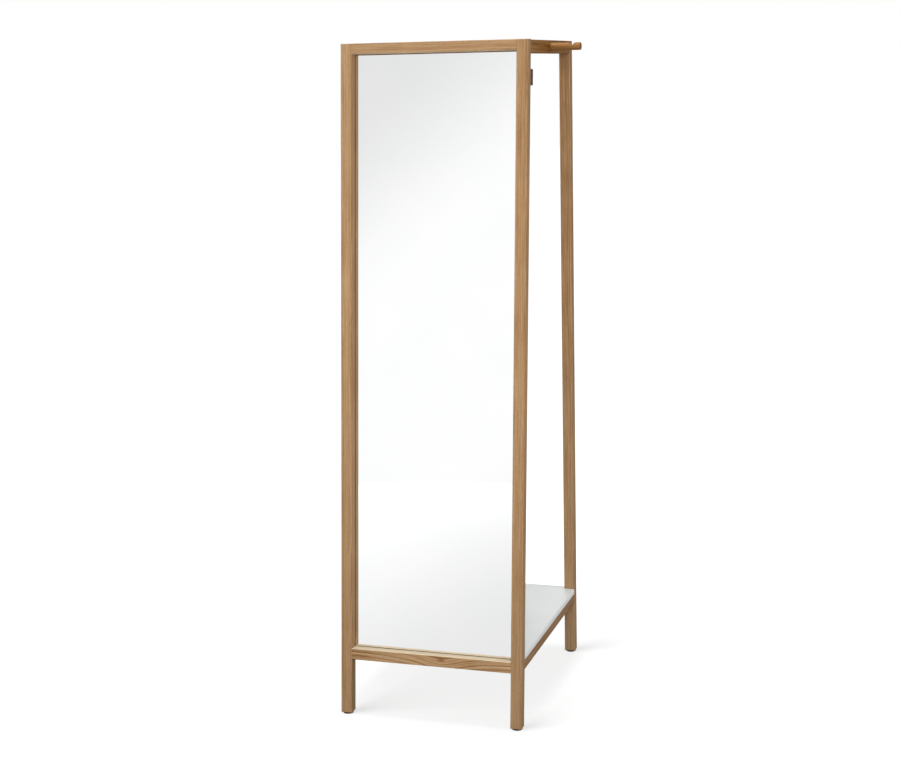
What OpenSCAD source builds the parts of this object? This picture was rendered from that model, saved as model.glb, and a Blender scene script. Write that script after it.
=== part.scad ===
// Floor-standing dressing mirror with a coat stand behind it.
// The origin is on the floor, at the middle of the footprint. +X is to the right of a person who
// looks into the mirror, +Y runs to the back, +Z is up. All lengths are in millimetres.

/* [Overall] */
// Outside width over the posts
body_w = 500; // [420:5:600]
// Height of the front posts' tops above the floor
body_h = 1765; // [1400:5:2000]
// Depth on the floor, from the front of the front feet to the back of the rear feet
floor_depth = 640; // [560:5:720]
// Depth at the top, which sets how far the front frame leans back
top_depth = 477; // [420:1:540]

/* [Posts] */
// Width of each post, left to right
post_w = 30; // [26:1:40]
// Depth of each post, front to back
post_d = 30; // [28:1:40]
// Radius on the long edges of posts and rails
edge_r = 1.5; // [0.5:0.5:3]
// Chamfer on the post tops
top_chamfer = 1; // [0.5:0.5:2]

/* [Front frame] */
// Height of the rail above the mirror, on its front face
top_rail_h = 26; // [22:1:60]
// Height of the rail below the mirror, on its front face
bottom_rail_h = 30; // [24:1:60]
// Height of the bottom rail's lower front edge above the floor
bottom_rail_z = 151; // [100:1:260]

/* [Rear frame] */
// Height of the rail between the tops of the rear posts
rear_top_h = 26; // [24:1:60]
// Depth of both rear rails, front to back
rear_rail_d = 30; // [24:1:30]
// How far the rear frame and side rails sit below the front posts' tops
top_step = 1.5; // [0:0.5:5]

/* [Side rails] */
// Thickness of the side rails, left to right
side_rail_w = 30; // [24:1:30]
// Height of the upper side rails
side_top_h = 34; // [30:1:60]
// Height of the lower side rails and of the rear rail under the shelf
side_low_h = 24; // [22:1:40]
// Height of the lower side rails' undersides above the floor
side_low_z = 154.5; // [110:0.5:260]

/* [Tenons] */
// Thickness of the tenons on the front and rear rails
tenon_t = 8; // [6:0.5:10]
// Length of the tenons
tenon_l = 20; // [12:1:24]
// Shoulder above and below a tenon
tenon_shoulder = 5; // [3:0.5:6]
// Wood between a tenon and the outside face of the frame
tenon_set = 6; // [4:0.5:7]
// Clearance around a tenon
tenon_gap = 0.1; // [0.05:0.05:0.3]

/* [Mirror] */
// Thickness of the mirror glass
glass_t = 3; // [3:0.5:5]
// Gap between the glass and the frame, all round
reveal = 2; // [1:0.5:5]
// Thickness of the double-sided mounting tape
tape_t = 1; // [0.8:0.1:2]
// Width of each strip of tape
tape_w = 25; // [12:1:40]
// Distance between the strips of tape
tape_pitch = 150; // [80:5:160]
// Distance from the strips' ends to the ends of the glass
tape_end = 30; // [10:5:80]
// Thickness of the backing board
board_t = 3; // [2.5:0.5:6]
// How far the backing board laps over the frame, all round
board_lap = 12; // [9:1:16]
// Clearance between the backing board and the pieces around it
board_gap = 1; // [0.5:0.5:3]

/* [Shelf] */
// Thickness of the shelf board
shelf_t = 16; // [12:1:25]
// How far the shelf's back edge sits in front of the rear posts' backs
shelf_back = 10; // [0:1:20]
// Radius on the shelf's side edges
shelf_edge_r = 2.5; // [0.5:0.5:5]
// Clearance between the shelf and the posts or backing board
shelf_gap = 0.8; // [0.3:0.1:3]

/* [Hanging rod] */
// Diameter of the hanging rod
rod_d = 20; // [16:1:24]
// How far each end of the rod stands out from the side rail
rod_out = 80; // [60:1:120]
// Chamfer on the rod's ends
rod_chamfer = 1.5; // [0.5:0.5:3]
// Width of the groove for a hanger's hook, at the top of the rod
notch_w = 18; // [12:1:24]
// Width of the groove's flat floor
notch_floor = 5; // [3:0.5:8]
// Depth of the groove below the top of the rod
notch_depth = 7.4; // [4:0.2:8]
// Distance from the rod's end to the middle of the groove
notch_in = 25; // [18:1:40]
// Clearance around the rod in the side rails, on the radius
rod_gap = 0.1; // [0.05:0.05:0.3]

/* [Hook rail and pegs] */
// Height of the hook rail
hook_rail_h = 40; // [36:1:70]
// Thickness of the hook rail
hook_rail_t = 22; // [20:1:30]
// Distance from the post tops down to the hook rail, along the front frame
hook_rail_drop = 71; // [60:1:300]
// Diameter of a coat peg
peg_d = 18; // [16:1:24]
// Length of a coat peg outside the rail
peg_out = 75; // [50:1:110]
// Diameter of the peg's tenon
peg_tenon_d = 12; // [8:1:13]
// Length of the peg's tenon
peg_tenon_l = 14; // [10:1:15]
// Upward tilt of the pegs from square to the rail
peg_tilt = 12; // [0:1:18]
// Distance between pegs
peg_pitch = 150; // [100:5:160]
// Radius on the peg's end
peg_end_r = 4; // [1:0.5:7]

/* [Glides] */
// Diameter of the plastic glides under the feet
glide_d = 28; // [18:1:30]
// Height of a glide's disc
glide_h = 5; // [3:0.5:10]
// Radius on the glide's lower edge
glide_edge_r = 1.5; // [0.5:0.5:2]
// Diameter of the glide's stem
glide_stem_d = 6; // [4:0.5:8]
// Length of the glide's stem
glide_stem_l = 18; // [10:1:25]

/* [Cam fittings] */
// Diameter of a cam
cam_d = 15; // [12:1:16]
// Depth of a cam
cam_l = 12.5; // [11:0.5:14]
// Distance from the rail's end to the middle of the cam
cam_set = 24; // [20:1:40]
// Distance from the inner face of the rail to the cam bolt's axis
cam_axis = 8; // [7:0.5:9]
// Diameter of the cam bolt's shank
cam_bolt_d = 6; // [5:0.5:7]
// Diameter of the cam bolt's head
cam_head_d = 7; // [6.5:0.5:8]
// Length of the cam bolt's head
cam_head_l = 3; // [2:0.5:4]
// Diameter of the cam bolt's thread
cam_thread_d = 5; // [4:0.5:6]
// Length of the cam bolt's thread in the post
cam_thread_l = 11; // [8:0.5:12]
// Diameter of the locating dowels in the side rails' ends
dowel_d = 8; // [6:1:10]
// Length of a locating dowel
dowel_l = 24; // [16:1:26]
// Distance from the outer face of the rail to the dowel's axis
dowel_set = 8; // [7:0.5:9]
// Clearance around cams, bolts, dowels, stems and screws, on the radius
fit_gap = 0.1; // [0.05:0.05:0.2]

/* [Screws] */
// Diameter of the shelf screws
shelf_screw_d = 4; // [3:0.5:5]
// How far a shelf screw enters the shelf
shelf_screw_in = 10; // [8:0.5:11]
// Number of shelf screws on each side
shelf_screw_n = 3; // [2:1:5]
// Diameter of the screws that lock the hanging rod
rod_screw_d = 3.5; // [3:0.5:4]
// How far a locking screw enters the rod
rod_screw_in = 9; // [5:0.5:9]
// Diameter of the hook rail's screws
hook_screw_d = 4.5; // [4:0.5:6]
// How far a hook rail screw enters the post
hook_screw_in = 20; // [14:1:22]
// Distance between the two screws at each end of the hook rail
hook_screw_pitch = 20; // [16:1:22]
// Diameter of the backing board's screws
board_screw_d = 3; // [2.5:0.5:3.5]
// How far a board screw enters the frame
board_screw_in = 11; // [8:0.5:12]
// Number of board screws up each side
board_screw_n = 5; // [3:1:8]
// Number of board screws along the top and along the bottom
board_screw_m = 3; // [2:1:4]
// Distance from the ends of a side to its first and last board screws
board_screw_end = 60; // [40:5:150]

/* [Hidden] */

oak = [0.71, 0.55, 0.40];
oak_dark = [0.55, 0.42, 0.28];
silver = [0.90, 0.92, 0.93];
white = [0.87, 0.88, 0.88];
brown_board = [0.30, 0.22, 0.16];
dark_plastic = [0.16, 0.13, 0.11];
zinc = [0.70, 0.71, 0.72];
beech = [0.83, 0.70, 0.53];
foam = [0.92, 0.92, 0.90];

$fn = 64;
far = 4 * body_h;                      // larger than the whole object
eps = 0.01;

half_w = body_w / 2;
front_y = -floor_depth / 2;            // front edge of the front feet
rear_y = floor_depth / 2;              // back of the rear posts
rear_face = rear_y - post_d;           // front face of the rear posts
post_rise = body_h - glide_h;
lean = atan((floor_depth - top_depth) / post_rise);
rear_h = body_h - top_step;            // top of the rear frame and side rails

// The front frame's own axes: x to the right, y into the frame from its front face, z up the lean.
frame_l = post_rise / cos(lean);       // length of the front face
open_w = body_w - 2 * post_w;          // mirror opening
open_z0 = (bottom_rail_z - glide_h) / cos(lean) + bottom_rail_h;
open_z1 = frame_l - top_rail_h;
low_rail_z0 = open_z0 - bottom_rail_h;
glass_y = post_d - tape_t - glass_t;   // recess of the glass behind the front face
board_w = open_w + 2 * board_lap;
board_z0 = open_z0 - board_lap;
board_z1 = open_z1 + board_lap;
hook_z1 = frame_l - hook_rail_drop;
hook_z0 = hook_z1 - hook_rail_h;

side_top_z = rear_h - side_top_h;
rod_z = rear_h - side_top_h / 2;
rod_y = (front_y + (floor_depth - top_depth) + rear_y) / 2;
shelf_z = side_low_z + side_low_h;
low_mid_z = side_low_z + side_low_h / 2;
inner_x = half_w - side_rail_w;        // inner face of the side rails
cam_x = inner_x + cam_axis;
dowel_x = half_w - dowel_set;

// y of the front posts' rear face at a height above the floor
function post_back(z) = front_y + (z - glide_h) * tan(lean) + post_d / cos(lean);

// ---- outlines -------------------------------------------------------------------------------

// A rectangle from the origin with rounded corners
module rounded(w, h, r) {
  translate([r, 0])
    square([w - 2 * r, h]);
  translate([0, r])
    square([w, h - 2 * r]);
  for (x = [r, w - r], y = [r, h - r])
    translate([x, y])
      circle(r = r);
}

module bar_x(x0, x1, y0, y1, z0, z1, r = edge_r) {
  translate([x0, y0, z0])
    rotate([90, 0, 90])
      linear_extrude(height = x1 - x0)
        rounded(y1 - y0, z1 - z0, r);
}

module bar_y(x0, x1, y0, y1, z0, z1, r = edge_r) {
  translate([x0, y1, z0])
    rotate([90, 0, 0])
      linear_extrude(height = y1 - y0)
        rounded(x1 - x0, z1 - z0, r);
}

module bar_z(x0, x1, y0, y1, z0, z1, r = edge_r) {
  translate([x0, y0, z0])
    linear_extrude(height = z1 - z0)
      rounded(x1 - x0, y1 - y0, r);
}

module block(x0, x1, y0, y1, z0, z1) {
  translate([x0, y0, z0])
    cube([x1 - x0, y1 - y0, z1 - z0]);
}

// A round bar from a point, along +X, +Y or +Z
module pin_x(x0, x1, y, z, d) {
  translate([x0, y, z])
    rotate([0, 90, 0])
      cylinder(h = x1 - x0, d = d);
}

module pin_y(x, y0, y1, z, d) {
  translate([x, y0, z])
    rotate([-90, 0, 0])
      cylinder(h = y1 - y0, d = d);
}

module pin_z(x, y, z0, z1, d) {
  translate([x, y, z0])
    cylinder(h = z1 - z0, d = d);
}

// ---- frames of reference --------------------------------------------------------------------

// Puts its children into the leaning front frame
module in_front() {
  translate([0, front_y, glide_h])
    rotate([-lean, 0, 0])
      children();
}

// Everything in front of the front posts' rear face
module before_front(clear = 0) {
  in_front()
    block(-far, far, -far, post_d + clear, -far, far);
}

module both_sides() {
  children();
  mirror([1, 0, 0])
    children();
}

// ---- screws ---------------------------------------------------------------------------------

// A countersunk wood screw along +Z: its head's face is at z = 0, its point at z = l
module csk_screw(d, l) {
  difference() {
    union() {
      cylinder(h = d / 2, d1 = 2 * d, d2 = d);
      translate([0, 0, d / 2])
        cylinder(h = l - d - d / 2, d = d);
      translate([0, 0, l - d])
        cylinder(h = d, d1 = d, d2 = d / 4);
    }
    for (a = [0, 90])
      rotate([0, 0, a])
        translate([-d * 0.5, -d * 0.12, -eps])
          cube([d, d * 0.24, d * 0.3]);
  }
}

// The hole for it
module csk_hole(d, l) {
  translate([0, 0, -d / 2])
    cylinder(h = d / 2 + eps, d = 2 * d + 2 * fit_gap);
  cylinder(h = d / 2 + fit_gap, d1 = 2 * d + 2 * fit_gap, d2 = d + 2 * fit_gap);
  cylinder(h = l + fit_gap, d = d + 2 * fit_gap);
}

// A pan-head screw along -Z: the head's underside is at z = 0
module pan_screw(d, l) {
  difference() {
    union() {
      cylinder(h = d * 0.35, d = 2.2 * d);
      translate([0, 0, d * 0.35])
        cylinder(h = d * 0.3, d1 = 2.2 * d, d2 = 1.5 * d);
      translate([0, 0, -l + d])
        cylinder(h = l - d, d = d);
      translate([0, 0, -l])
        cylinder(h = d, d1 = d / 4, d2 = d);
    }
    for (a = [0, 90])
      rotate([0, 0, a])
        translate([-d * 0.55, -d * 0.12, d * 0.3])
          cube([d * 1.1, d * 0.24, d]);
  }
}

// ---- places of the fasteners ----------------------------------------------------------------

// Screws of the backing board, as [x, z] in the front frame
board_screw_x = open_w / 2 + board_lap / 2;
side_screw_z0 = open_z0 + board_screw_end;
side_screw_z1 = hook_z0 - board_screw_end;
board_screw_places = concat(
  [for (s = [-1, 1], i = [0 : board_screw_n - 1])
    [s * board_screw_x, side_screw_z0 + (side_screw_z1 - side_screw_z0) * i / (board_screw_n - 1)]],
  [for (z = [board_z0 + board_lap / 2, board_z1 - board_lap / 2], i = [0 : board_screw_m - 1])
    [open_w * (-1 / 2 + (i + 0.5) / board_screw_m), z]]
);

// Screws of the hook rail, as [x, z] in the front frame
hook_screw_places = [
  for (s = [-1, 1], t = [-1, 1])
    [s * (half_w - post_w / 2), (hook_z0 + hook_z1) / 2 + t * hook_screw_pitch / 2]
];

// y of the shelf screws, spread between the cams of a lower side rail
shelf_screw_y0 = post_back(low_mid_z) + cam_set + cam_d + shelf_screw_d;
shelf_screw_y1 = rear_face - cam_set - cam_d - shelf_screw_d;
shelf_screw_places = [
  for (i = [0 : shelf_screw_n - 1])
    shelf_screw_y0 + (shelf_screw_y1 - shelf_screw_y0) * i / (shelf_screw_n - 1)
];
shelf_screw_x = half_w - side_rail_w / 2;

// Heights of the side rails' end fittings
rail_levels = [rod_z, low_mid_z];

// ---- cam fittings (right side; mirrored for the left) ----------------------------------------

// y of the two ends of a side rail at height z, with the direction into the rail
function rail_ends(z) = [[post_back(z), 1], [rear_face, -1]];

module cam() {
  // cam along +X from its outer face, with the bolt arriving from -Y
  difference() {
    rotate([0, 90, 0])
      cylinder(h = cam_l, d = cam_d);
    block(cam_axis - cam_head_d / 2 - fit_gap, cam_axis + cam_head_d / 2 + fit_gap,
      -cam_d, cam_head_l + fit_gap, -cam_head_d / 2 - fit_gap, cam_head_d / 2 + fit_gap);
    for (a = [0, 90])
      rotate([a, 0, 0])
        block(-eps, 1.5, -cam_d * 0.28, cam_d * 0.28, -0.7, 0.7);
  }
}

// The bolt runs along +Y from its thread's point; its collar bears on the post at y = 0
module cam_bolt() {
  pin_y(0, -cam_thread_l, eps, 0, cam_thread_d);
  pin_y(0, 0, cam_set, 0, cam_bolt_d);
  pin_y(0, cam_set - eps, cam_set + cam_head_l, 0, cam_head_d);
}

module rail_end_cuts(z) {
  for (e = rail_ends(z))
    translate([0, e[0], z]) {
      pin_x(inner_x - eps, inner_x + cam_l + 0.5, e[1] * cam_set, 0, cam_d + 2 * fit_gap);
      translate([cam_x, 0, 0])
        mirror([0, e[1] < 0 ? 1 : 0, 0])
          pin_y(0, -post_d / 2, cam_set + cam_head_l + fit_gap, 0, cam_head_d + 2 * fit_gap);
      mirror([0, e[1] < 0 ? 1 : 0, 0])
        pin_y(dowel_x, -post_d / 2, dowel_l / 2 + 0.5, 0, dowel_d + 2 * fit_gap);
    }
}

// Blind holes for the bolts and dowels, in the posts' faces that meet the side rails
module post_fitting_cuts(rear) {
  for (z = rail_levels)
    translate([0, rail_ends(z)[rear ? 1 : 0][0], z])
      mirror([0, rear ? 1 : 0, 0]) {
        pin_y(cam_x, -cam_thread_l - 0.5, post_d, 0, cam_thread_d + 2 * fit_gap);
        pin_y(dowel_x, -dowel_l / 2 - 0.5, post_d, 0, dowel_d + 2 * fit_gap);
      }
}

// ---- posts (right side; mirrored for the left) ------------------------------------------------

module mortise(y0, z0, z1) {
  block(half_w - post_w - 1, half_w - post_w + tenon_l + 0.5,
    y0 - tenon_gap, y0 + tenon_t + tenon_gap,
    z0 + tenon_shoulder - tenon_gap, z1 - tenon_shoulder + tenon_gap);
}

// Four chamfers around a level end at height z, for an outline x0..x1, y0..y1
module end_chamfers(x0, x1, y0, y1, z, c) {
  for (y = [y0, y1])
    translate([0, y, z])
      rotate([45, 0, 0])
        cube([far, c * sqrt(2), c * sqrt(2)], center = true);
  for (x = [x0, x1])
    translate([x, 0, z])
      rotate([0, 45, 0])
        cube([c * sqrt(2), far, c * sqrt(2)], center = true);
}

module front_post() {
  difference() {
    intersection() {
      in_front()
        bar_z(half_w - post_w, half_w, 0, post_d, -post_d, frame_l + post_d);
      block(-far, far, -far, far, glide_h, body_h);
    }
    in_front() {
      mortise(tenon_set, low_rail_z0, open_z0);
      mortise(tenon_set, open_z1, frame_l);
      for (p = hook_screw_places)
        if (p[0] > 0)
          translate([p[0], post_d - hook_screw_in, p[1]])
            rotate([-90, 0, 0])
              cylinder(h = hook_screw_in + 1, d = hook_screw_d + 2 * fit_gap);
      for (p = board_screw_places)
        if (p[0] > open_w / 2)
          pin_y(p[0], post_d - board_screw_in - fit_gap, post_d + 1, p[1], board_screw_d + 2 * fit_gap);
    }
    post_fitting_cuts(false);
    pin_z(glide_x, glide_front_y, glide_h - 1, glide_h + glide_stem_l + 0.5, glide_stem_d + 2 * fit_gap);
    end_chamfers(half_w - post_w, half_w, post_back(body_h) - post_d / cos(lean), post_back(body_h),
      body_h, top_chamfer);
  }
}

module rear_post() {
  difference() {
    bar_z(half_w - post_w, half_w, rear_face, rear_y, glide_h, rear_h);
    mortise(rear_y - tenon_set - tenon_t, side_low_z, side_low_z + side_low_h);
    mortise(rear_y - tenon_set - tenon_t, rear_h - rear_top_h, rear_h);
    post_fitting_cuts(true);
    pin_z(glide_x, glide_rear_y, glide_h - 1, glide_h + glide_stem_l + 0.5, glide_stem_d + 2 * fit_gap);
    end_chamfers(half_w - post_w, half_w, rear_face, rear_y, rear_h, top_chamfer);
  }
}

module front_post_right() {
  color(oak) front_post();
}

module front_post_left() {
  color(oak) mirror([1, 0, 0]) front_post();
}

module rear_post_right() {
  color(oak) rear_post();
}

module rear_post_left() {
  color(oak) mirror([1, 0, 0]) rear_post();
}

// ---- rails between the posts ------------------------------------------------------------------

module tenons(y0, z0, z1) {
  for (s = [-1, 1])
    block(s > 0 ? open_w / 2 - eps : -open_w / 2 - tenon_l,
      s > 0 ? open_w / 2 + tenon_l : -open_w / 2 + eps,
      y0, y0 + tenon_t, z0 + tenon_shoulder, z1 - tenon_shoulder);
}

module board_screw_holes(z0, z1) {
  for (p = board_screw_places)
    if (p[1] > z0 && p[1] < z1)
      pin_y(p[0], post_d - board_screw_in - fit_gap, post_d + 1, p[1], board_screw_d + 2 * fit_gap);
}

module front_top_rail() {
  color(oak)
    difference() {
      intersection() {
        in_front() {
          bar_x(-open_w / 2, open_w / 2, 0, post_d, open_z1, frame_l + post_d);
          tenons(tenon_set, open_z1, frame_l);
        }
        block(-far, far, -far, far, glide_h, body_h);
      }
      in_front()
        board_screw_holes(open_z1, frame_l);
      end_chamfers(-far, far, post_back(body_h) - post_d / cos(lean), post_back(body_h),
        body_h, top_chamfer);
    }
}

module front_bottom_rail() {
  color(oak)
    in_front()
      difference() {
        union() {
          bar_x(-open_w / 2, open_w / 2, 0, post_d, low_rail_z0, open_z0);
          tenons(tenon_set, low_rail_z0, open_z0);
        }
        board_screw_holes(low_rail_z0, open_z0);
      }
}

module rear_rail(z0, z1) {
  bar_x(-open_w / 2, open_w / 2, rear_y - rear_rail_d, rear_y, z0, z1);
  tenons(rear_y - tenon_set - tenon_t, z0, z1);
}

module rear_top_rail() {
  color(oak) rear_rail(rear_h - rear_top_h, rear_h);
}

module rear_lower_rail() {
  color(oak) rear_rail(side_low_z, side_low_z + side_low_h);
}

// ---- side rails (right side; mirrored for the left) --------------------------------------------

module side_rail(z0, z1) {
  difference() {
    bar_y(inner_x, half_w, front_y, rear_face, z0, z1);
    before_front();
    rail_end_cuts((z0 + z1) / 2);
  }
}

module side_top_rail() {
  difference() {
    side_rail(side_top_z, rear_h);
    pin_x(inner_x - 1, half_w + 1, rod_y, rod_z, rod_d + 2 * rod_gap);
    translate([shelf_screw_x, rod_y, side_top_z])
      csk_hole(rod_screw_d, side_top_h / 2);
  }
}

module side_lower_rail() {
  difference() {
    side_rail(side_low_z, side_low_z + side_low_h);
    for (y = shelf_screw_places)
      translate([shelf_screw_x, y, side_low_z])
        csk_hole(shelf_screw_d, side_low_h + 1);
  }
}

module side_top_rail_right() {
  color(oak) side_top_rail();
}

module side_top_rail_left() {
  color(oak) mirror([1, 0, 0]) side_top_rail();
}

module side_lower_rail_right() {
  color(oak) side_lower_rail();
}

module side_lower_rail_left() {
  color(oak) mirror([1, 0, 0]) side_lower_rail();
}

// ---- mirror -----------------------------------------------------------------------------------

glass_z0 = open_z0 + reveal;
glass_z1 = open_z1 - reveal;

module mirror_glass() {
  color(silver)
    in_front()
      block(-open_w / 2 + reveal, open_w / 2 - reveal, glass_y, glass_y + glass_t, glass_z0, glass_z1);
}

module mirror_tape() {
  color(foam)
    in_front()
      for (i = [-1 : 1])
        block(i * tape_pitch - tape_w / 2, i * tape_pitch + tape_w / 2, post_d - tape_t, post_d,
          glass_z0 + tape_end, glass_z1 - tape_end);
}

// Corner notches keep the board clear of the side rails and of the shelf
board_low_notch = (shelf_z + shelf_t + board_gap - glide_h) / cos(lean) + post_d * tan(lean) + board_t;
board_top_notch = (side_top_z - board_gap - glide_h) / cos(lean) + post_d * tan(lean);

module backing_board() {
  color(brown_board)
    in_front()
      difference() {
        block(-board_w / 2, board_w / 2, post_d, post_d + board_t, board_z0, board_z1);
        both_sides() {
          block(inner_x - board_gap, far, 0, far, -far, board_low_notch);
          block(inner_x - board_gap, far, 0, far, board_top_notch, far);
        }
        for (p = board_screw_places)
          pin_y(p[0], post_d - 1, post_d + board_t + 1, p[1], board_screw_d + 2 * fit_gap);
      }
}

module board_screws() {
  color(zinc)
    in_front()
      for (p = board_screw_places)
        translate([p[0], post_d + board_t, p[1]])
          rotate([-90, 0, 0])
            pan_screw(board_screw_d, board_t + board_screw_in);
}

// ---- shelf ------------------------------------------------------------------------------------

module shelf() {
  color(white)
    difference() {
      bar_y(-half_w, half_w, front_y, rear_y - shelf_back, shelf_z, shelf_z + shelf_t, shelf_edge_r);
      before_front(shelf_gap);
      in_front()
        block(-inner_x - shelf_gap, inner_x + shelf_gap, 0, post_d + board_t + shelf_gap, -far, far);
      both_sides() {
        block(half_w - post_w - shelf_gap, far, rear_face - shelf_gap, far, 0, far);
        for (y = shelf_screw_places)
          pin_z(shelf_screw_x, y, shelf_z - 1, shelf_z + shelf_screw_in + fit_gap,
            shelf_screw_d + 2 * fit_gap);
      }
    }
}

module shelf_screws() {
  color(zinc)
    both_sides()
      for (y = shelf_screw_places)
        translate([shelf_screw_x, y, side_low_z])
          csk_screw(shelf_screw_d, side_low_h + shelf_screw_in);
}

// ---- hanging rod ------------------------------------------------------------------------------

rod_tip = half_w + rod_out;
notch_x = rod_tip - notch_in;

// The groove's outline, from the top of the rod down to its flat floor; the sides run on above
function notch_outline() =
  let (slope = (notch_w - notch_floor) / 2 / notch_depth, rise = 3)
  [[-notch_floor / 2, -notch_depth], [notch_floor / 2, -notch_depth],
    [notch_w / 2 + slope * rise, rise], [-notch_w / 2 - slope * rise, rise]];

module hanging_rod() {
  color(oak)
    difference() {
      union() {
        pin_x(-rod_tip + rod_chamfer, rod_tip - rod_chamfer, rod_y, rod_z, rod_d);
        both_sides()
          translate([rod_tip - rod_chamfer - eps, rod_y, rod_z])
            rotate([0, 90, 0])
              cylinder(h = rod_chamfer + eps, d1 = rod_d, d2 = rod_d - 2 * rod_chamfer);
      }
      both_sides() {
        translate([notch_x, rod_y + rod_d, rod_z + rod_d / 2])
          rotate([90, 0, 0])
            linear_extrude(height = 2 * rod_d)
              polygon(notch_outline());
        pin_z(shelf_screw_x, rod_y, rod_z - rod_d, rod_z - rod_d / 2 + rod_screw_in + fit_gap,
          rod_screw_d + 2 * fit_gap);
      }
    }
}

module rod_screws() {
  color(zinc)
    both_sides()
      translate([shelf_screw_x, rod_y, side_top_z])
        csk_screw(rod_screw_d, side_top_h / 2 - rod_d / 2 + rod_screw_in);
}

// ---- hook rail and pegs -----------------------------------------------------------------------

hook_y1 = post_d + hook_rail_t;
hook_mid_z = (hook_z0 + hook_z1) / 2;

// A peg's own axes: along +Y out of the rail, from the middle of its base
module at_peg(i) {
  in_front()
    translate([i * peg_pitch, hook_y1, hook_mid_z])
      rotate([peg_tilt, 0, 0])
        children();
}

module hook_rail() {
  color(oak_dark)
    difference() {
      in_front()
        bar_x(-half_w, half_w, post_d, hook_y1, hook_z0, hook_z1);
      in_front()
        block(-board_w / 2 - board_gap, board_w / 2 + board_gap, 0, post_d + board_t + board_gap / 2,
          -far, far);
      for (i = [-1 : 1])
        at_peg(i)
          pin_y(0, -peg_tenon_l - fit_gap, peg_d, 0, peg_tenon_d + 2 * fit_gap);
      in_front()
        for (p = hook_screw_places)
          translate([p[0], hook_y1, p[1]])
            rotate([90, 0, 0])
              csk_hole(hook_screw_d, hook_rail_t + 1);
    }
}

module hook_rail_screws() {
  color(zinc)
    in_front()
      for (p = hook_screw_places)
        translate([p[0], hook_y1, p[1]])
          rotate([90, 0, 0])
            csk_screw(hook_screw_d, hook_rail_t + hook_screw_in);
}

// Half section of a peg along its axis: a shaft with a rounded end
module peg_section() {
  translate([0, -peg_d])
    square([peg_d / 2, peg_d + peg_out - peg_end_r]);
  translate([0, -peg_d])
    square([peg_d / 2 - peg_end_r, peg_d + peg_out]);
  translate([peg_d / 2 - peg_end_r, peg_out - peg_end_r])
    circle(r = peg_end_r);
}

module coat_peg(i) {
  color(oak) {
    difference() {
      at_peg(i)
        rotate([-90, 0, 0])
          rotate_extrude()
            peg_section();
      in_front()
        block(-far, far, -far, hook_y1, -far, far);
    }
    at_peg(i)
      pin_y(0, -peg_tenon_l, peg_d / 2, 0, peg_tenon_d);
  }
}

module coat_peg_left() {
  coat_peg(-1);
}

module coat_peg_centre() {
  coat_peg(0);
}

module coat_peg_right() {
  coat_peg(1);
}

// ---- glides -----------------------------------------------------------------------------------

glide_x = half_w - post_w / 2;
glide_front_y = front_y + post_d / (2 * cos(lean));
glide_rear_y = rear_y - post_d / 2;

// Half section of a glide: a disc with a rounded lower edge, and its stem
module glide_section() {
  square([glide_d / 2 - glide_edge_r, glide_h]);
  translate([0, glide_edge_r])
    square([glide_d / 2, glide_h - glide_edge_r]);
  translate([glide_d / 2 - glide_edge_r, glide_edge_r])
    circle(r = glide_edge_r);
  square([glide_stem_d / 2, glide_h + glide_stem_l]);
}

module glide(x, y) {
  color(dark_plastic)
    translate([x, y, 0])
      rotate_extrude()
        glide_section();
}

module glide_front_left() {
  glide(-glide_x, glide_front_y);
}

module glide_front_right() {
  glide(glide_x, glide_front_y);
}

module glide_rear_left() {
  glide(-glide_x, glide_rear_y);
}

module glide_rear_right() {
  glide(glide_x, glide_rear_y);
}

// ---- cam fittings -----------------------------------------------------------------------------

module at_rail_ends() {
  both_sides()
    for (z = rail_levels, e = rail_ends(z))
      translate([0, e[0], z])
        mirror([0, e[1] < 0 ? 1 : 0, 0])
          children();
}

module cams() {
  color(zinc)
    at_rail_ends()
      translate([inner_x, cam_set, 0])
        cam();
}

module cam_bolts() {
  color(zinc)
    at_rail_ends()
      translate([cam_x, 0, 0])
        cam_bolt();
}

module locating_dowels() {
  color(beech)
    at_rail_ends()
      pin_y(dowel_x, -dowel_l / 2, dowel_l / 2, 0, dowel_d);
}

front_post_left();
front_post_right();
front_top_rail();
front_bottom_rail();
rear_post_left();
rear_post_right();
rear_top_rail();
rear_lower_rail();
side_top_rail_left();
side_top_rail_right();
side_lower_rail_left();
side_lower_rail_right();
mirror_glass();
mirror_tape();
backing_board();
board_screws();
shelf();
shelf_screws();
hanging_rod();
rod_screws();
hook_rail();
hook_rail_screws();
coat_peg_left();
coat_peg_centre();
coat_peg_right();
glide_front_left();
glide_front_right();
glide_rear_left();
glide_rear_right();
cams();
cam_bolts();
locating_dowels();
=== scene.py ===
import math

import bpy
from mathutils import Matrix, Vector


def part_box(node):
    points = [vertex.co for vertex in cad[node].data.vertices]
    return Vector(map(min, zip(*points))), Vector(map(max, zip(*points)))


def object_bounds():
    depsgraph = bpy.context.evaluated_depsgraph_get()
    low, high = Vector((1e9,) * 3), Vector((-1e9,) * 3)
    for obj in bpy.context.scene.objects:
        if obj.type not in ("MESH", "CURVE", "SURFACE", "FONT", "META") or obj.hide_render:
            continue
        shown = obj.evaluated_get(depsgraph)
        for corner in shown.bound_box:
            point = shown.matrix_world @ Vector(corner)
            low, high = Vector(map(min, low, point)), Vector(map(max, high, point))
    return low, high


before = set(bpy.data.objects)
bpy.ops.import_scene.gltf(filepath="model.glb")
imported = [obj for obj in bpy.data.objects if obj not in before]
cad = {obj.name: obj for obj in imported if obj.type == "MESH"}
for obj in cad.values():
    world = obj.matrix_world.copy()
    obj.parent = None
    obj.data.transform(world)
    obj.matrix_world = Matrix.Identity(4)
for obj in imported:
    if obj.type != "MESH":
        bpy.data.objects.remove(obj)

cad_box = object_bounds()

# ---- camera -------------------------------------------------------------------------------------

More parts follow.
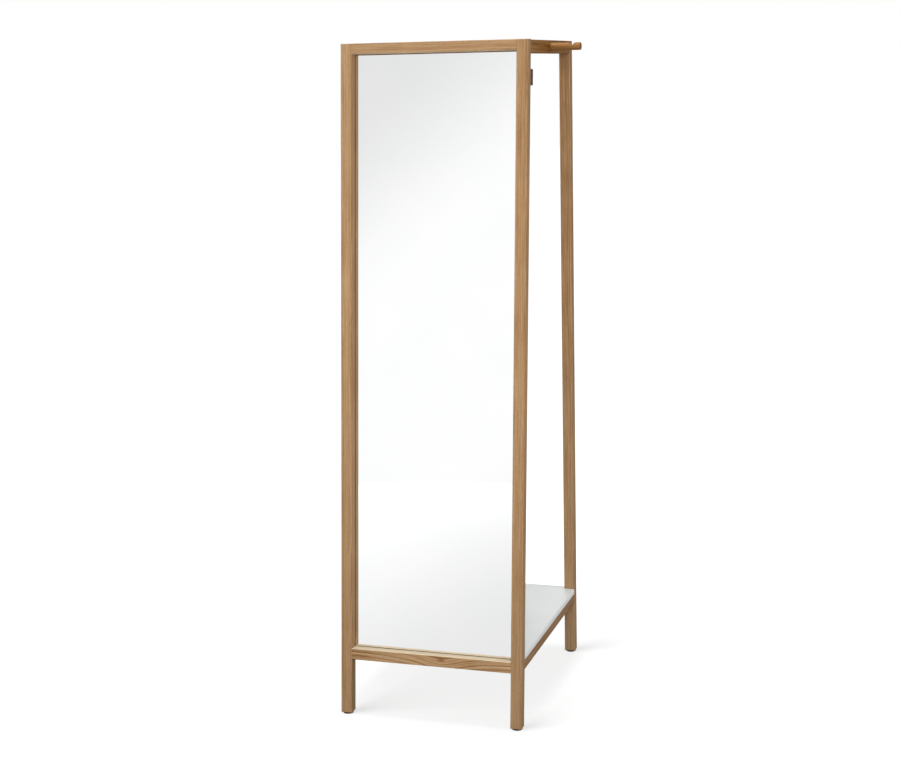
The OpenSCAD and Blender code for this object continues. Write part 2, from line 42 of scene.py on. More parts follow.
# In metres, 4.4 m off in front and to the right of the stand and 1.7 m high. In degrees, how far
# it is turned to the left, tipped down and rolled
VIEWPOINT = (1.31744, -4.22904, 1.69729)
LEFT, DOWN, ROLL = 17.6022, 10.7982, -1.3003

camera = bpy.data.objects.new("camera", bpy.data.cameras.new("camera"))
bpy.context.collection.objects.link(camera)
camera.data.sensor_width = 36
camera.data.lens = 66.122
camera.data.clip_end = 100
camera.matrix_world = (
    Matrix.Translation(VIEWPOINT)
    @ Matrix.Rotation(math.radians(LEFT), 4, "Z")
    @ Matrix.Rotation(math.radians(90 - DOWN), 4, "X")
    @ Matrix.Rotation(math.radians(ROLL), 4, "Z"))
bpy.context.scene.camera = camera
bpy.context.scene.view_settings.view_transform = "Standard"

# ---- nodes and colours --------------------------------------------------------------------------


def linear(code):
    """An sRGB hex colour as linear RGBA."""
    parts = [int(code[i:i + 2], 16) / 255 for i in (1, 3, 5)]
    return tuple(c / 12.92 if c < 0.04045 else ((c + 0.055) / 1.055) ** 2.4 for c in parts) + (1,)


def add(tree, kind, inputs=None, ramp=None, **settings):
    """Adds a node. Inputs are values or sockets to link; ramp is a list of (place, hex colour)."""
    made = tree.nodes.new("ShaderNode" + kind)
    for key, value in settings.items():
        setattr(made, key, value)
    for key, value in (inputs or {}).items():
        if isinstance(value, bpy.types.NodeSocket):
            tree.links.new(value, made.inputs[key])
        else:
            made.inputs[key].default_value = value
    if ramp:
        stops = made.color_ramp.elements
        while len(stops) < len(ramp):
            stops.new(0.5)
        for stop, (place, code) in zip(stops, ramp):
            stop.position = place
            stop.color = linear(code)
    return made


def finish_of(name):
    """A new material with an empty node tree."""
    material = bpy.data.materials.new(name)
    material.use_nodes = True
    material.node_tree.nodes.clear()
    return material, material.node_tree


def dress(material, *names):
    """Puts a material on CAD nodes."""
    for name in names:
        for slot in cad[name].material_slots:
            slot.material = material


# ---- oak ----------------------------------------------------------------------------------------

# Solid European oak, planed, sanded and clear-lacquered to a matt sheen: pale brown wood with a
# soft highlight, growth rings that run along each piece, open pores as short dark streaks, and
# darker end grain. A ring is about 2.8 mm wide and a pore 0.3 mm; both are too fine to show at
# the size of the whole stand, so groups of rings are drawn as 5 mm bands and rows of pores as
# 3 mm streaks, over the fine ones.
RING = 0.0028
BAND = 0.005

# How often each pattern repeats in a metre, along the piece and across it
DRIFTS = (2.6, 11, 11)
STREAKS = (9, 330, 330)
PORES = (90, 1900, 1900)
CLOUDS = (5, 30, 30)

# How strong the broad clouds are, and how much darker a ring's open early wood is
CLOUDING = 0.7
EARLY_WOOD = -0.12

# A knot is reddish, and about 22 by 10 mm: half its width and half its height
KNOT_WIDE, KNOT_TALL = 0.011, 0.005
KNOT_RED = "#82502E"

# The top face or the underside and its arris can be painted paler: a painted highlight, painted
# light. The arris and the end grain both fade in: the depth below the surface at which each starts,
# and at which it is full
PAINTED_LIGHT_OAK = "#EAD7B9"
ARRIS_STARTS, ARRIS_FULL = 0.0016, 0.0006
END_STARTS, END_FULL = 0.0012, 0.0004


def oak(name, piece, along, pith, tones, seed, knot=None, painted_face_light=0.0, tone_and_shade_shift=0.0, both_ways=False,
        grain=1.2, figure=0.8, wander=0.006, gloss=0.04):
    """Oak for one piece. along is the direction of its length, pith is where the middle of the
    trunk lies from the piece's own, tones are its four colours, and seed picks its part of the
    tree.

    tone_and_shade_shift is how much paler it grows towards its far end, or from its middle if
    both_ways; on some pieces this is painted light and shade along the piece. grain and figure are
    the strength of its pore streaks and of its bands. knot is where along the piece and how high a
    knot sits, how deep the grain dips round it, and over what length. painted_face_light is how
    much paler the top face and its arris are painted, a painted highlight, or below zero the
    underside and its arris, as painted light. wander is how far the fibres stray, and gloss is the
    shine of the lacquer.
    """
    low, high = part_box(piece)
    middle = (low + high) / 2
    up = "Y" if abs(along.z) > 0.9 else "Z"
    turn = along.to_track_quat("X", up)
    half = sum(abs(a) * d for a, d in zip(along, high - low)) / 2
    dark, body, light, pore = tones
    material, tree = finish_of(name)
    place = add(tree, "TexCoord").outputs["Object"]
    own = add(tree, "Mapping", {"Vector": place, "Location": middle,
                                "Rotation": turn.to_euler()}, vector_type="TEXTURE").outputs[0]
    drift = add(tree, "Mapping", {"Vector": own, "Location": (seed, seed * 2, 0),
                                  "Scale": DRIFTS}).outputs[0]
    sway = add(tree, "TexNoise", {"Vector": drift, "Scale": 1, "Detail": 2}).outputs["Color"]
    swung = add(tree, "VectorMath", {0: sway, 1: (0, wander * 2, wander * 2), 2: own},
                operation="MULTIPLY_ADD").outputs[0]
    if knot:
        # The grain dips in a bell shape: dip / (1 + (distance / stretch) squared)
        knot_at, knot_high, dip, stretch = knot
        bend = add(tree, "SeparateXYZ", {0: swung}).outputs[0]
        bend = add(tree, "Math", {0: bend, 1: 1 / stretch, 2: -knot_at / stretch},
                   operation="MULTIPLY_ADD").outputs[0]
        bend = add(tree, "Math", {0: bend, 1: bend, 2: 1.0}, operation="MULTIPLY_ADD").outputs[0]
        bend = add(tree, "Math", {0: dip, 1: bend}, operation="DIVIDE").outputs[0]
        bend = add(tree, "CombineXYZ", {2: bend}).outputs[0]
        swung = add(tree, "VectorMath", {0: swung, 1: bend}, operation="ADD").outputs[0]
    from_pith = add(tree, "VectorMath", {0: swung, 1: (0, 1, 1), 2: (0, -pith[0], -pith[1])},
                    operation="MULTIPLY_ADD").outputs[0]
    radius = add(tree, "VectorMath", {0: from_pith}, operation="LENGTH").outputs["Value"]

    group = add(tree, "Math", {0: radius, 1: 1 / BAND, 2: seed * 7.0},
                operation="MULTIPLY_ADD").outputs[0]
    bands = add(tree, "TexNoise", {"W": group, "Scale": 1, "Detail": 3, "Roughness": 0.6},
                noise_dimensions="1D").outputs["Fac"]
    ring = add(tree, "Math", {0: radius, 1: 1 / RING}, operation="MULTIPLY").outputs[0]
    ring = add(tree, "Math", {0: ring}, operation="FRACT").outputs[0]
    early = add(tree, "MapRange", {"Value": ring, "From Min": 0, "From Max": 0.45, "To Min": 1,
                                   "To Max": 0}, interpolation_type="SMOOTHSTEP").outputs[0]

    long_streak = add(tree, "Mapping", {"Vector": swung, "Location": (seed, 0, seed),
                                        "Scale": STREAKS}).outputs[0]
    streaks = add(tree, "TexNoise", {"Vector": long_streak, "Scale": 1, "Detail": 3,
                                     "Roughness": 0.65}).outputs["Fac"]
    pore_place = add(tree, "Mapping", {"Vector": swung, "Scale": PORES}).outputs[0]
    pores = add(tree, "TexNoise", {"Vector": pore_place, "Scale": 1, "Detail": 1}).outputs["Fac"]
    pores = add(tree, "MapRange", {"Value": pores, "From Min": 0.55, "From Max": 0.7}).outputs[0]
    pores = add(tree, "Math", {0: pores, 1: early}, operation="MULTIPLY").outputs[0]
    cloud_place = add(tree, "Mapping", {"Vector": own, "Location": (seed * 3, 0, 0),
                                        "Scale": CLOUDS}).outputs[0]
    cloud = add(tree, "TexNoise", {"Vector": cloud_place, "Scale": 1, "Detail": 2}).outputs["Fac"]

    # Tone: bands, streaks, broad clouds and the slow change along the piece, which on some pieces
    # is painted light and shade, all about one half, then the rings' open early wood
    reach = add(tree, "SeparateXYZ", {0: own})
    from_middle = add(tree, "Math", {0: reach.outputs[0]}, operation="ABSOLUTE").outputs[0]
    gone = from_middle if both_ways else reach.outputs[0]
    tone = add(tree, "Math", {0: bands, 1: figure, 2: 0.5 - (figure + grain + CLOUDING) / 2},
               operation="MULTIPLY_ADD").outputs[0]
    tone = add(tree, "Math", {0: streaks, 1: grain, 2: tone}, operation="MULTIPLY_ADD").outputs[0]
    tone = add(tree, "Math", {0: cloud, 1: CLOUDING, 2: tone}, operation="MULTIPLY_ADD").outputs[0]
    tone = add(tree, "Math", {0: gone, 1: tone_and_shade_shift / half, 2: tone},
               operation="MULTIPLY_ADD").outputs[0]
    tone = add(tree, "Math", {0: early, 1: EARLY_WOOD, 2: tone},
               operation="MULTIPLY_ADD").outputs[0]
    colour = add(tree, "ValToRGB", {0: tone},
                 ramp=[(0.12, dark), (0.5, body), (0.88, light)]).outputs[0]
    colour = add(tree, "Mix", {0: pores, 6: colour, 7: linear(pore)}, data_type="RGBA").outputs[2]
    if knot:
        centred = (-knot_at / KNOT_WIDE, 0, -(knot_high + dip) / KNOT_TALL)
        spot = add(tree, "Mapping", {"Vector": swung, "Scale": (1 / KNOT_WIDE, 0, 1 / KNOT_TALL),
                                     "Location": centred}).outputs[0]
        spot = add(tree, "VectorMath", {0: spot}, operation="LENGTH").outputs["Value"]
        spot = add(tree, "MapRange", {"Value": spot, "From Min": 0.3, "From Max": 1.4,
                                      "To Min": 0.65, "To Max": 0},
                   interpolation_type="SMOOTHSTEP").outputs[0]
        colour = add(tree, "Mix", {0: spot, 6: colour, 7: linear(KNOT_RED)},
                     data_type="RGBA").outputs[2]
    # Painted highlight: the top face, or with a value below zero the underside, and its arris are
    # mixed towards a pale oak colour
    if painted_face_light:
        crest = (high.z - low.z) / 2
        side = math.copysign(1, painted_face_light)
        rise = add(tree, "Math", {0: reach.outputs[2], 1: side}, operation="MULTIPLY").outputs[0]
        arris = add(tree, "MapRange", {"Value": rise, "From Min": crest - ARRIS_STARTS,
                                       "From Max": crest - ARRIS_FULL}).outputs[0]
        face = add(tree, "SeparateXYZ", {0: add(tree, "NewGeometry").outputs["Normal"]}).outputs[2]
        face = add(tree, "Math", {0: face, 1: side}, operation="MULTIPLY").outputs[0]
        face = add(tree, "Math", {0: face, 1: 0.8}, operation="GREATER_THAN").outputs[0]
        painted_light_mask = add(tree, "Math", {0: arris, 1: face}, operation="MAXIMUM").outputs[0]
        painted_light_mask = add(tree, "Math", {0: painted_light_mask, 1: abs(painted_face_light)}, operation="MULTIPLY").outputs[0]
        colour = add(tree, "Mix", {0: painted_light_mask, 6: colour, 7: linear(PAINTED_LIGHT_OAK)},
                     data_type="RGBA").outputs[2]
    end = add(tree, "MapRange", {"Value": from_middle, "From Min": half - END_STARTS,
                                 "From Max": half - END_FULL, "To Max": 0.85}).outputs[0]
    colour = add(tree, "Mix", {0: end, 6: colour, 7: linear(pore)}, data_type="RGBA").outputs[2]

    rough = add(tree, "MapRange", {"Value": streaks, "To Min": 0.62, "To Max": 0.46}).outputs[0]
    depth = add(tree, "Math", {0: pores, 1: -1.0, 2: tone}, operation="MULTIPLY_ADD").outputs[0]
    relief = add(tree, "Bump", {"Height": depth, "Strength": 0.25, "Distance": 0.00015}).outputs[0]
    wood = add(tree, "BsdfPrincipled", {"Base Color": colour, "Roughness": rough, "IOR": 1.5,
                                        "Specular IOR Level": gloss, "Normal": relief})
    add(tree, "OutputMaterial", {"Surface": wood.outputs[0]})
    dress(material, piece)


# Each tone: darkest grain, body, lightest grain, pores and end grain
STRAIGHT = ("#926E4B", "#A98660", "#B89672", "#6E4F33")
PALE = ("#977350", "#AF8C66", "#BE9D79", "#725337")
FIGURED = ("#835830", "#BA956D", "#CDAC87", "#745643")
RUDDY = ("#926E4A", "#AE8C67", "#BC9B77", "#70503A")
BROWN = ("#825E3C", "#A57D55", "#B79167", "#5A3F29")
# The side top rails' tone, darker and redder than the rest: painted shade
SHADED_AMBER = ("#623A16", "#7E5121", "#9C6F3A", "#482D12")
HONEY = ("#724C25", "#855E34", "#966C40", "#5A3C1C")

# A front post is square, so its lean is what its box is deeper than wide over its height
low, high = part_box("front_post_left")
lean = math.atan((high.y - low.y - (high.x - low.x)) / (high.z - low.z))
leaning = Vector((0, math.sin(lean), math.cos(lean)))
upright, across, inward = Vector((0, 0, 1)), Vector((1, 0, 0)), Vector((0, 1, 0))

oak("lacquered_oak_post_front_left", "front_post_left", leaning, (0.06, 0.075), PALE, 1.3,
    tone_and_shade_shift=-0.02)
# Darker towards its top and paler towards its foot: painted light and shade
oak("lacquered_oak_post_front_right", "front_post_right", leaning, (-0.055, 0.08), STRAIGHT, 4.1,
    tone_and_shade_shift=-0.1)
oak("lacquered_oak_post_rear_left", "rear_post_left", upright, (0.07, -0.06), STRAIGHT, 7.7)
# Paler towards its foot and darker towards its top: painted light and shade
oak("lacquered_oak_post_rear_right", "rear_post_right", upright, (0.065, 0.05), STRAIGHT, 9.2,
    tone_and_shade_shift=-0.28, grain=1.7, figure=1.6)
# Its underside and arris are painted paler: painted light
oak("lacquered_oak_rail_front_top", "front_top_rail", across, (0.05, 0.08), RUDDY, 11.9,
    painted_face_light=-0.6)
# Its top face and arris are painted paler: a painted highlight
oak("lacquered_oak_rail_front_bottom", "front_bottom_rail", across, (0.012, 0.062), FIGURED, 14.6,
    knot=(0.03, 0.009, 0.032, 0.075), painted_face_light=1.0, tone_and_shade_shift=0.12, grain=0.9, figure=1.8, wander=0.004)
oak("lacquered_oak_rail_rear_top", "rear_top_rail", across, (0.06, 0.06), BROWN, 17.3)
oak("lacquered_oak_rail_rear_low", "rear_lower_rail", across, (0.05, 0.07), BROWN, 19.8)
# The side top rails are darker and redder as painted shade; the right one is also darker in its
# middle, round the rod, and paler at both ends: painted shade of the rod
oak("lacquered_oak_rail_side_top_left", "side_top_rail_left", inward, (0.05, 0.07), SHADED_AMBER, 22.4)
oak("lacquered_oak_rail_side_top_right", "side_top_rail_right", inward, (0.06, 0.05), SHADED_AMBER, 25.0,
    tone_and_shade_shift=0.22, both_ways=True, grain=1.6)
oak("lacquered_oak_rail_side_low_left", "side_lower_rail_left", inward, (0.05, 0.06), BROWN, 27.7)
oak("lacquered_oak_rail_side_low_right", "side_lower_rail_right", inward, (0.06, 0.06), BROWN, 30.1,
    tone_and_shade_shift=0.1)
# Paler towards its right end and darker towards its left: painted light and shade
oak("lacquered_oak_turned_rod", "hanging_rod", across, (0.04, 0.05), HONEY, 33.5,
    tone_and_shade_shift=0.32, grain=1.8, gloss=0.08)
# Near-black end grain: partly the darker end grain, partly painted shade beside the front post
oak("lacquered_oak_hook_rail", "hook_rail", across, (0.03, 0.06), BROWN[:3] + ("#2A1706",), 36.2)

# The pegs rise by 12 degrees from the hook rail's own square
tilt = math.radians(12) - lean
rising = Vector((0, math.cos(tilt), math.sin(tilt)))
for side, seed in (("left", 39.0), ("centre", 41.6), ("right", 44.3)):
    oak("lacquered_oak_turned_peg_" + side, "coat_peg_" + side, rising, (0.03, 0.04), RUDDY, seed)

# ---- mirror -------------------------------------------------------------------------------------

# Float glass silvered on the back, edges ground and polished: an almost perfect reflection with a
# faint cool tint, and greyish edges where one looks into the thickness of the glass. The side edges
# are a dark greenish grey: partly the glass's own colour and partly painted shade in the gap beside
# the posts.
material, tree = finish_of("silvered_float_glass")
place = add(tree, "TexCoord").outputs["Object"]
just_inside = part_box("mirror_glass")[1].x - 0.0001
outward = add(tree, "SeparateXYZ", {0: place}).outputs[0]
outward = add(tree, "Math", {0: outward}, operation="ABSOLUTE").outputs[0]
side_edge = add(tree, "Math", {0: outward, 1: just_inside}, operation="GREATER_THAN").outputs[0]
face = add(tree, "SeparateXYZ", {0: add(tree, "NewGeometry").outputs["Normal"]}).outputs[2]
flat_edge = add(tree, "Math", {0: add(tree, "Math", {0: face}, operation="ABSOLUTE").outputs[0],
                               1: 0.9}, operation="GREATER_THAN").outputs[0]
edge = add(tree, "Math", {0: side_edge, 1: flat_edge}, operation="MAXIMUM").outputs[0]
# Float glass waves by a few hundredths of a millimetre over some 60 mm as it is drawn
wave = add(tree, "TexNoise", {"Vector": place, "Scale": 16, "Detail": 1}).outputs["Fac"]
ripple = add(tree, "Bump", {"Height": wave, "Strength": 0.1, "Distance": 0.00002}).outputs[0]
film = add(tree, "TexNoise", {"Vector": place, "Scale": 5, "Detail": 3}).outputs["Fac"]
rough = add(tree, "MapRange", {"Value": film, "From Min": 0.3, "From Max": 0.7, "To Min": 0.004,
                               "To Max": 0.02}).outputs[0]
silver = add(tree, "ValToRGB", {0: film}, ramp=[(0.3, "#FCFDFD"), (0.7, "#FFFFFF")]).outputs[0]
mirror = add(tree, "BsdfPrincipled", {"Base Color": silver, "Metallic": 1.0, "Roughness": rough,
                                      "Normal": ripple})
# The side edges are darker than the top and bottom ones: partly the glass's colour, partly painted
# shade in the gap
edge_colour_and_gap_shade = add(tree, "ValToRGB", {0: flat_edge}, ramp=[(0.3, "#2E352E"), (0.7, "#A3A48C")]).outputs[0]
ground = add(tree, "BsdfPrincipled", {"Base Color": edge_colour_and_gap_shade, "Roughness": 0.15, "IOR": 1.52})
glass = add(tree, "MixShader", {0: edge, 1: mirror.outputs[0], 2: ground.outputs[0]})
add(tree, "OutputMaterial", {"Surface": glass.outputs[0]})
dress(material, "mirror_glass")

# ---- shelf --------------------------------------------------------------------------------------

# Board with a sprayed and baked satin lacquer: pale cool grey-white, an even skin with a faint
# orange peel of about 8 mm, and a soft broad reflection at a low angle. Its edges are painted
# whiter
# than its faces: painted light on the board's sides.
material, tree = finish_of("satin_lacquered_board")
place = add(tree, "TexCoord").outputs["Object"]
peel = add(tree, "TexNoise", {"Vector": place, "Scale": 120, "Detail": 0}).outputs["Fac"]
mottle = add(tree, "TexNoise", {"Vector": place, "Scale": 9, "Detail": 0}).outputs["Fac"]
skin = add(tree, "ValToRGB", {0: mottle}, ramp=[(0.3, "#D9DDDD"), (0.7, "#DDE1E1")]).outputs[0]
face = add(tree, "SeparateXYZ", {0: add(tree, "NewGeometry").outputs["Normal"]}).outputs[2]
edge = add(tree, "Math", {0: add(tree, "Math", {0: face}, operation="ABSOLUTE").outputs[0], 1: 0.5},
           operation="LESS_THAN").outputs[0]
# Edges whiter than the faces: painted light
skin = add(tree, "Mix", {0: edge, 6: skin, 7: linear("#F7F9F9")}, data_type="RGBA").outputs[2]
rough = add(tree, "MapRange", {"Value": peel, "From Min": 0.3, "From Max": 0.7, "To Min": 0.29,
                               "To Max": 0.31}).outputs[0]
relief = add(tree, "Bump", {"Height": peel, "Strength": 0.1, "Distance": 0.00003}).outputs[0]
lacquer = add(tree, "BsdfPrincipled", {"Base Color": skin, "Roughness": rough, "IOR": 1.5,
                                       "Normal": relief})
add(tree, "OutputMaterial", {"Surface": lacquer.outputs[0]})
dress(material, "shelf")

# ---- small parts --------------------------------------------------------------------------------

# Polyethylene, injection moulded and spark-textured: nearly black brown, a dull sheen, and a
# leathery grain of about 0.5 mm.
material, tree = finish_of("moulded_polyethylene")
place = add(tree, "TexCoord").outputs["Object"]
spark = add(tree, "TexNoise", {"Vector": place, "Scale": 1800, "Detail": 2}).outputs["Fac"]
shade = add(tree, "ValToRGB", {0: spark}, ramp=[(0.3, "#17120F"), (0.7, "#221B17")]).outputs[0]
rough = add(tree, "MapRange", {"Value": spark, "To Min": 0.42, "To Max": 0.6}).outputs[0]
relief = add(tree, "Bump", {"Height": spark, "Strength": 0.3, "Distance": 0.0001}).outputs[0]
plastic = add(tree, "BsdfPrincipled", {"Base Color": shade, "Roughness": rough, "IOR": 1.5,
                                       "Normal": relief})
add(tree, "OutputMaterial", {"Surface": plastic.outputs[0]})
dress(material, "glide_front_left", "glide_front_right", "glide_rear_left", "glide_rear_right")

# Hardboard, wet-pressed wood fibre: dark brown, smooth and slightly shiny on its good side, with
# fibre bundles 3 to 8 mm long lying every way and drawn as tangled flecks.
material, tree = finish_of("pressed_hardboard")
place = add(tree, "TexCoord").outputs["Object"]
bent = add(tree, "TexNoise", {"Vector": place, "Scale": 60, "Detail": 2}).outputs["Color"]
tangle = add(tree, "VectorMath", {0: bent, 1: (0.02, 0.02, 0.02), 2: place},
             operation="MULTIPLY_ADD").outputs[0]
fibre = add(tree, "TexNoise", {"Vector": tangle, "Scale": 260, "Detail": 4,
                               "Roughness": 0.7}).outputs["Fac"]
cloud = add(tree, "TexNoise", {"Vector": place, "Scale": 7, "Detail": 3}).outputs["Fac"]
tone = add(tree, "Math", {0: cloud, 1: 0.5, 2: fibre}, operation="MULTIPLY_ADD").outputs[0]
shade = add(tree, "ValToRGB", {0: tone},
            ramp=[(0.45, "#5E4530"), (0.75, "#765A40"), (1.0, "#8C6F52")]).outputs[0]
rough = add(tree, "MapRange", {"Value": fibre, "To Min": 0.45, "To Max": 0.7}).outputs[0]
relief = add(tree, "Bump", {"Height": fibre, "Strength": 0.2, "Distance": 0.0001}).outputs[0]
pressed = add(tree, "BsdfPrincipled", {"Base Color": shade, "Roughness": rough, "IOR": 1.5,
                                       "Normal": relief})
add(tree, "OutputMaterial", {"Surface": pressed.outputs[0]})
dress(material, "backing_board")

# Closed-cell polyethylene foam: off-white, matt, with bubbles of about 0.6 mm.
material, tree = finish_of("white_foam_tape")
place = add(tree, "TexCoord").outputs["Object"]
cells = add(tree, "TexVoronoi", {"Vector": place, "Scale": 1600}).outputs["Distance"]
shade = add(tree, "ValToRGB", {0: cells}, ramp=[(0.0, "#D5D4CE"), (0.6, "#EAE9E4")]).outputs[0]
relief = add(tree, "Bump", {"Height": cells, "Strength": 0.4, "Distance": 0.0002}).outputs[0]
foam = add(tree, "BsdfPrincipled", {"Base Color": shade, "Roughness": 0.85, "IOR": 1.5,
                                    "Normal": relief})
add(tree, "OutputMaterial", {"Surface": foam.outputs[0]})
dress(material, "mirror_tape")

# Steel, cold headed and zinc plated: a pale bluish metal, satin from barrel plating, with faint
# cloudy marks of about 1 mm.
material, tree = finish_of("zinc_plated_steel")
place = add(tree, "TexCoord").outputs["Object"]
marks = add(tree, "TexNoise", {"Vector": place, "Scale": 900, "Detail": 3}).outputs["Fac"]
shade = add(tree, "ValToRGB", {0: marks}, ramp=[(0.3, "#AEB1B4"), (0.7, "#CDD0D2")]).outputs[0]
rough = add(tree, "MapRange", {"Value": marks, "To Min": 0.28, "To Max": 0.46}).outputs[0]
relief = add(tree, "Bump", {"Height": marks, "Strength": 0.15, "Distance": 0.00005}).outputs[0]
plated = add(tree, "BsdfPrincipled", {"Base Color": shade, "Metallic": 1.0, "Roughness": rough,
                                      "Normal": relief})
add(tree, "OutputMaterial", {"Surface": plated.outputs[0]})
dress(material, "board_screws", "shelf_screws", "rod_screws", "hook_rail_screws", "cams",
      "cam_bolts")

# Beech, turned and fluted: pinkish straw, bare and matt, with brown ray flecks 1 to 3 mm long.
material, tree = finish_of("bare_beech")
place = add(tree, "TexCoord").outputs["Object"]
stretched = add(tree, "Mapping", {"Vector": place, "Scale": (2400, 400, 2400)}).outputs[0]
flecks = add(tree, "TexNoise", {"Vector": stretched, "Scale": 1, "Detail": 2}).outputs["Fac"]
shade = add(tree, "ValToRGB", {0: flecks},
            ramp=[(0.35, "#B08762"), (0.55, "#D3B287"), (0.8, "#DDBF98")]).outputs[0]
relief = add(tree, "Bump", {"Height": flecks, "Strength": 0.2, "Distance": 0.0001}).outputs[0]
beech = add(tree, "BsdfPrincipled", {"Base Color": shade, "Roughness": 0.6, "IOR": 1.5,
                                     "Normal": relief})
add(tree, "OutputMaterial", {"Surface": beech.outputs[0]})
dress(material, "locating_dowels")

# ---- studio -------------------------------------------------------------------------------------

WHITE = (1, 1, 1, 1)
ROOM_LIGHT = 0.28  # the even light that the room itself gives

# Just under the feet, so that no two faces lie in one plane
FLOOR_LEVEL = -0.0004

# The floor's own glow beside the stand, and how far outside its outline it begins to grow to white
# and is white. The growing glow is painted light that washes out the far ends of the feet's shadows
GLOW_BESIDE, GLOW_FROM, GLOW_TO = 0.668, 0.02, 0.6

# What the mirror shows of the studio falls off to pale grey. On the floor it does so by the angle
# about a point behind the stand, in radians, from its bright side to its dim one. On the backdrop
# it does so towards the upper left
BEHIND = (-0.321, 4.404, 0)
FLOOR_FALL, FLOOR_BRIGHT, FLOOR_DIM = (-1.76, -1.54), 0.995, 0.805
UPPER_LEFT = (-0.9, 0, 1)
WALL_FALL, WALL_BRIGHT, WALL_DIM = (0.345, 0.475), 1.0, 0.79


def sight(tree):
    """Whether a ray is seen by an eye, a mirror or glass, and whether by a mirror."""
    path = add(tree, "LightPath").outputs
    seen = add(tree, "Math", {0: path["Is Camera Ray"], 1: path["Is Glossy Ray"]},
               operation="MAXIMUM").outputs[0]
    seen = add(tree, "Math", {0: seen, 1: path["Is Transmission Ray"]},
               operation="MAXIMUM").outputs[0]
    return seen, path["Is Glossy Ray"]


# A plain white floor. Eyes, mirrors and glass see it white with the stand's own soft shadow;
# to all other light it is a pale matt floor.
bpy.ops.object.select_all(action="DESELECT")
bpy.ops.mesh.primitive_plane_add(size=60, location=(0, 0, FLOOR_LEVEL))
floor = bpy.context.object
floor.name = "floor"
material, tree = finish_of("white_studio_floor")
seen, mirrored = sight(tree)
place = add(tree, "TexCoord").outputs["Object"]
corner = (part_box("front_post_right")[1].x, cad_box[1][1], 0)
outside = add(tree, "VectorMath", {0: place}, operation="ABSOLUTE").outputs[0]
outside = add(tree, "VectorMath", {0: outside, 1: corner}, operation="SUBTRACT").outputs[0]
outside = add(tree, "SeparateXYZ", {0: outside})
outside = add(tree, "Math", {0: outside.outputs[0], 1: outside.outputs[1]},
              operation="MAXIMUM").outputs[0]
# Glow growing outside the stand's outline: painted light over the shadows' far ends
lift = add(tree, "MapRange", {"Value": outside, "From Min": GLOW_FROM, "From Max": GLOW_TO,
                              "To Min": GLOW_BESIDE, "To Max": 1.0}).outputs[0]
glow = add(tree, "Emission", {"Color": WHITE, "Strength": lift})
shadowed = add(tree, "BsdfDiffuse", {"Color": linear("#A2A2A2")})
white = add(tree, "AddShader", {0: glow.outputs[0], 1: shadowed.outputs[0]}).outputs[0]
turned = add(tree, "VectorMath", {0: place, 1: BEHIND}, operation="SUBTRACT").outputs[0]
turned = add(tree, "SeparateXYZ", {0: turned})
angle = add(tree, "Math", {0: turned.outputs[1], 1: turned.outputs[0]},
            operation="ARCTAN2").outputs[0]
ebb = add(tree, "MapRange", {"Value": angle, "From Min": FLOOR_FALL[0], "From Max": FLOOR_FALL[1],
                             "To Min": FLOOR_BRIGHT, "To Max": FLOOR_DIM},
          interpolation_type="SMOOTHSTEP").outputs[0]
dimmer = add(tree, "Emission", {"Color": WHITE, "Strength": ebb})
faint = add(tree, "BsdfDiffuse", {"Color": linear("#202020")})
reflected = add(tree, "AddShader", {0: dimmer.outputs[0], 1: faint.outputs[0]}).outputs[0]
white = add(tree, "MixShader", {0: mirrored, 1: white, 2: reflected})
pale = add(tree, "BsdfDiffuse", {"Color": linear("#868684")})
mixed = add(tree, "MixShader", {0: seen, 1: pale.outputs[0], 2: white.outputs[0]})
add(tree, "OutputMaterial", {"Surface": mixed.outputs[0]})
floor.data.materials.append(material)

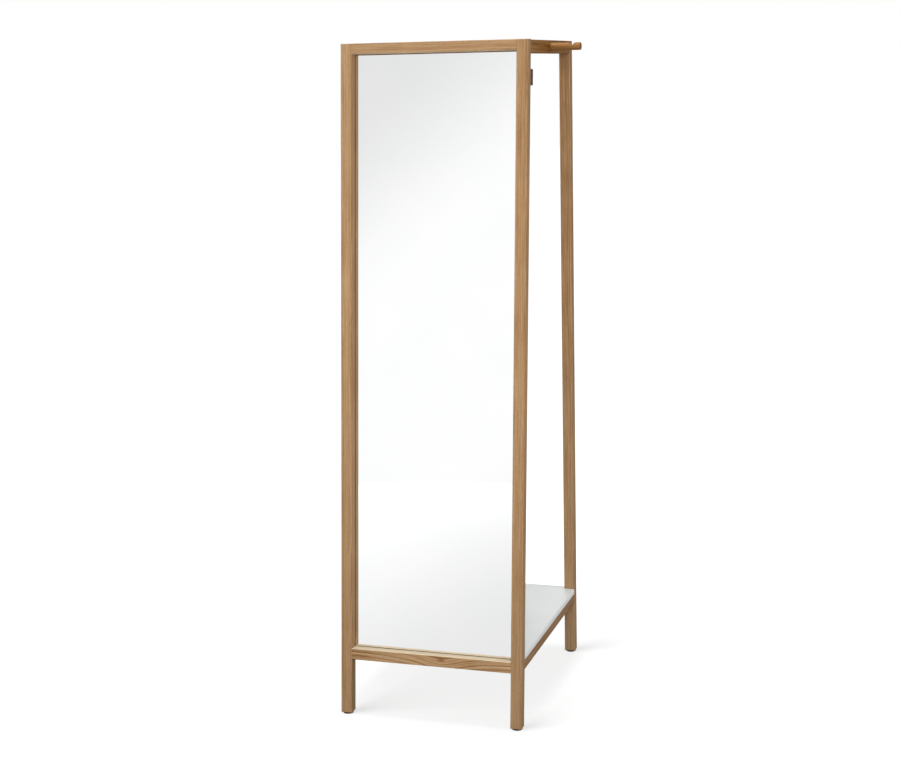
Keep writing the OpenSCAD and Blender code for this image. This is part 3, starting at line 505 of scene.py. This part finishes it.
world = bpy.data.worlds.new("studio")
bpy.context.scene.world = world
world.use_nodes = True
tree = world.node_tree
tree.nodes.clear()
seen, mirrored = sight(tree)
towards = add(tree, "VectorMath", {0: add(tree, "TexCoord").outputs["Generated"], 1: UPPER_LEFT},
              operation="DOT_PRODUCT").outputs["Value"]
dim = add(tree, "MapRange", {"Value": towards, "From Min": WALL_FALL[0], "From Max": WALL_FALL[1],
                             "To Min": WALL_BRIGHT, "To Max": WALL_DIM},
          interpolation_type="SMOOTHSTEP").outputs[0]
bright = add(tree, "Mix", {0: mirrored, 2: 1.0, 3: dim}).outputs[0]
room = add(tree, "Background", {"Color": WHITE, "Strength": ROOM_LIGHT})
backdrop = add(tree, "Background", {"Color": WHITE, "Strength": bright})
mixed = add(tree, "MixShader", {0: seen, 1: room.outputs[0], 2: backdrop.outputs[0]})
add(tree, "OutputWorld", {"Surface": mixed.outputs[0]})


def softbox(name, place, aim, size, power, spread=180, tall=0):
    """A soft lamp at a place, turned to a point. It is square, or as wide as size and this tall.
    A grid narrows its spread, in degrees.
    """
    lamp = bpy.data.objects.new(name, bpy.data.lights.new(name, "AREA"))
    bpy.context.collection.objects.link(lamp)
    lamp.data.shape = "RECTANGLE"
    lamp.data.size = size
    lamp.data.size_y = tall or size
    lamp.data.energy = power
    lamp.data.spread = math.radians(spread)
    lamp.location = place
    lamp.rotation_euler = (Vector(aim) - Vector(place)).to_track_quat("-Z", "Y").to_euler()
    lamp.visible_camera = False
    lamp.visible_glossy = False
    return lamp


boxes = [
    softbox("key", (1.1, -2.7, 1.9), (0, 0, 1.3), size=1.4, power=18.5, spread=95),
    softbox("low", (0.2, -2.6, 0.5), (0, 0, 0.4), size=1.0, power=10.5),
    softbox("right", (2.6, 0.3, 1.6), (0, 0, 0.9), size=1.4, power=4.6, spread=90),
    softbox("left", (-2.6, 0.3, 1.4), (0, 0, 0.9), size=1.4, power=4.2, spread=90),
    softbox("back", (-1.2, 2.8, 1.5), (0, 0, 1.0), size=1.4, power=38)]
top = softbox("top", (0, 0, 3.8), (0, 0, 0), size=0.8, power=48)
top.visible_glossy = True
rake = softbox("rake", (-5.45, -5.85, 1.12), (0, 0, 0), size=8, power=2500, tall=0.8)

# The boxes round the stand are flagged off the floor, so its shadow is the top lamp's. A strip
# light far off at the front left rakes the floor alone, for the feet's short shadows.
floor_alone = bpy.data.collections.new("floor_alone")
floor_alone.objects.link(floor)
rake.light_linking.receiver_collection = floor_alone
off_floor = bpy.data.collections.new("off_floor")
off_floor.objects.link(floor)
off_floor.collection_objects[0].light_linking.link_state = "EXCLUDE"
for box in boxes:
    box.light_linking.receiver_collection = off_floor
